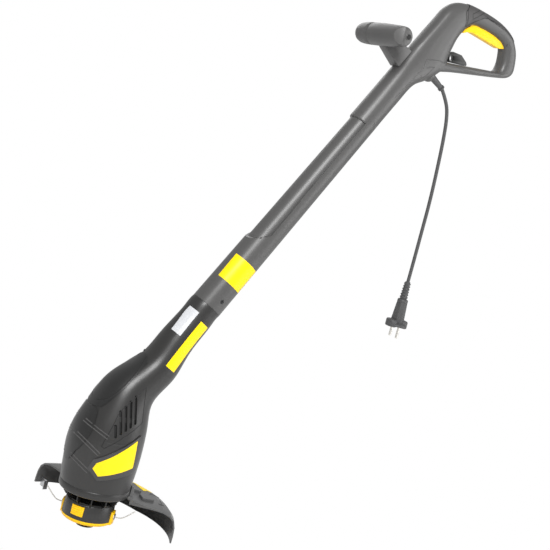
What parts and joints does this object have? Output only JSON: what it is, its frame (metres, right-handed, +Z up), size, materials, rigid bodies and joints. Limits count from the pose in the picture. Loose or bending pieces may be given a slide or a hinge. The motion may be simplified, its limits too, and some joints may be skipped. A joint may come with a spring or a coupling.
{
  "type": "string trimmer",
  "caption": "Corded electric string trimmer with a curved motor head, line spool, rear guard, leaning one-piece shaft, T-shaped front grip and closed D-shaped rear handle.",
  "frame": {"origin": "centre of the rear hand grip, on the mid plane", "axes": "+Z up along the motor spindle's direction, +X towards the user (rear), +Y to the user's right"},
  "size_m": [0.6336, 0.201, 0.9461],
  "materials": {
    "charcoal_plastic": "fine moulded texture with a soft sheen",
    "panel_plastic": "smooth satin",
    "grip_rubber": "soft-touch matt",
    "black_plastic": "satin",
    "guard_plastic": "satin with a light sheen",
    "yellow_plastic": "satin gloss",
    "steel": "plated",
    "copper": "enamelled wire and bare segments",
    "nickel": "nickel plated",
    "carbon": "dull graphite",
    "white_plastic": "smooth",
    "nylon_line": "translucent nylon",
    "cord_rubber": "matt rubber"
  },
  "bodies": {
    "frame": {"badge_plate_left": "yellow_plastic", "badge_plate_right": "yellow_plastic", "base_ring": "charcoal_plastic", "bearing_plate": "charcoal_plastic", "brush_holders": "black_plastic", "carbon_brushes": "carbon", "cord_boss": "charcoal_plastic", "cord_clamp": "black_plastic", "cord_hook": "black_plastic", "field_windings": "copper", "front_grip_barrel": "charcoal_plastic", "front_grip_end": "charcoal_plastic", "front_grip_screw": "steel", "front_grip_stem": "charcoal_plastic", "front_panel": "panel_plastic", "guard": "guard_plastic", "guard_screws": "steel", "handle_screws": "steel", "handle_shell_left": "charcoal_plastic", "handle_shell_right": "charcoal_plastic", "housing_screws": "steel", "inner_cable": "cord_rubber", "joint_screws": "steel", "line_cutter": "steel", "lower_bearing": "steel", "motor_housing_left": "charcoal_plastic", "motor_housing_right": "charcoal_plastic", "plug_body": "cord_rubber", "plug_pins": "nickel", "power_cord": "cord_rubber", "rib_panel": "panel_plastic", "shaft_tube": "charcoal_plastic", "soft_grip": "grip_rubber", "stator_core": "steel", "strain_relief": "cord_rubber", "switch_body": "black_plastic", "trigger_pin": "steel", "trigger_spring": "steel", "upper_bearing": "steel", "upper_bearing_bracket": "charcoal_plastic", "upper_joint_sleeve": "black_plastic"},
    "spinning_head": {"motor_shaft": "steel", "rotor_core": "steel", "rotor_windings": "copper", "commutator": "copper", "cooling_fan": "black_plastic", "spool_housing": "black_plastic", "spool_cap": "yellow_plastic", "line_eyelet_rear": "nickel", "line_eyelet_front": "nickel", "line_end_rear": "nylon_line", "line_end_front": "nylon_line", "bump_spring": "steel"},
    "bump_spool": {"spool": "black_plastic", "line_winding": "nylon_line", "bump_knob": "black_plastic"},
    "latch_left": {"cap_latch_left": "yellow_plastic"},
    "latch_right": {"cap_latch_right": "yellow_plastic"},
    "trigger_lever": {"trigger": "yellow_plastic"},
    "plunger": {"switch_plunger": "white_plastic"}
  },
  "joints": [
    {"name": "head_spin", "type": "hinge", "parent": "frame", "child": "spinning_head", "pos_m": [-0.505, 0, -0.87], "axis": [0, 0, 1], "continuous": true},
    {"name": "bump_feed", "type": "slide", "parent": "spinning_head", "child": "bump_spool", "axis": [0, 0, 1], "range_m": [0, 0.005], "stiffness_N_per_m": 900, "springref_m": -0.004, "deforming": ["bump_spring"]},
    {"name": "cap_latch_left_press", "type": "slide", "parent": "spinning_head", "child": "latch_left", "axis": [0.766, 0.6428, 0], "range_m": [0, 0.0015], "stiffness_N_per_m": 2500, "springref_m": -0.0008},
    {"name": "cap_latch_right_press", "type": "slide", "parent": "spinning_head", "child": "latch_right", "axis": [-0.766, -0.6428, 0], "range_m": [0, 0.0015], "stiffness_N_per_m": 2500, "springref_m": -0.0008},
    {"name": "trigger_pull", "type": "hinge", "parent": "frame", "child": "trigger_lever", "pos_m": [0.0365, 0, -0.023], "axis": [0, 1, 0], "range_deg": [0, 4], "stiffness_Nm_per_rad": 4, "springref_deg": -1.72, "deforming": ["trigger_spring"]},
    {"name": "switch_press", "type": "slide", "parent": "frame", "child": "plunger", "axis": [0, 0, 1], "range_m": [0, 0.0029]}
  ],
  "couplings": [
    {"joint": "switch_press", "follows": "trigger_pull", "m_per_rad": 0.0385}
  ]
}
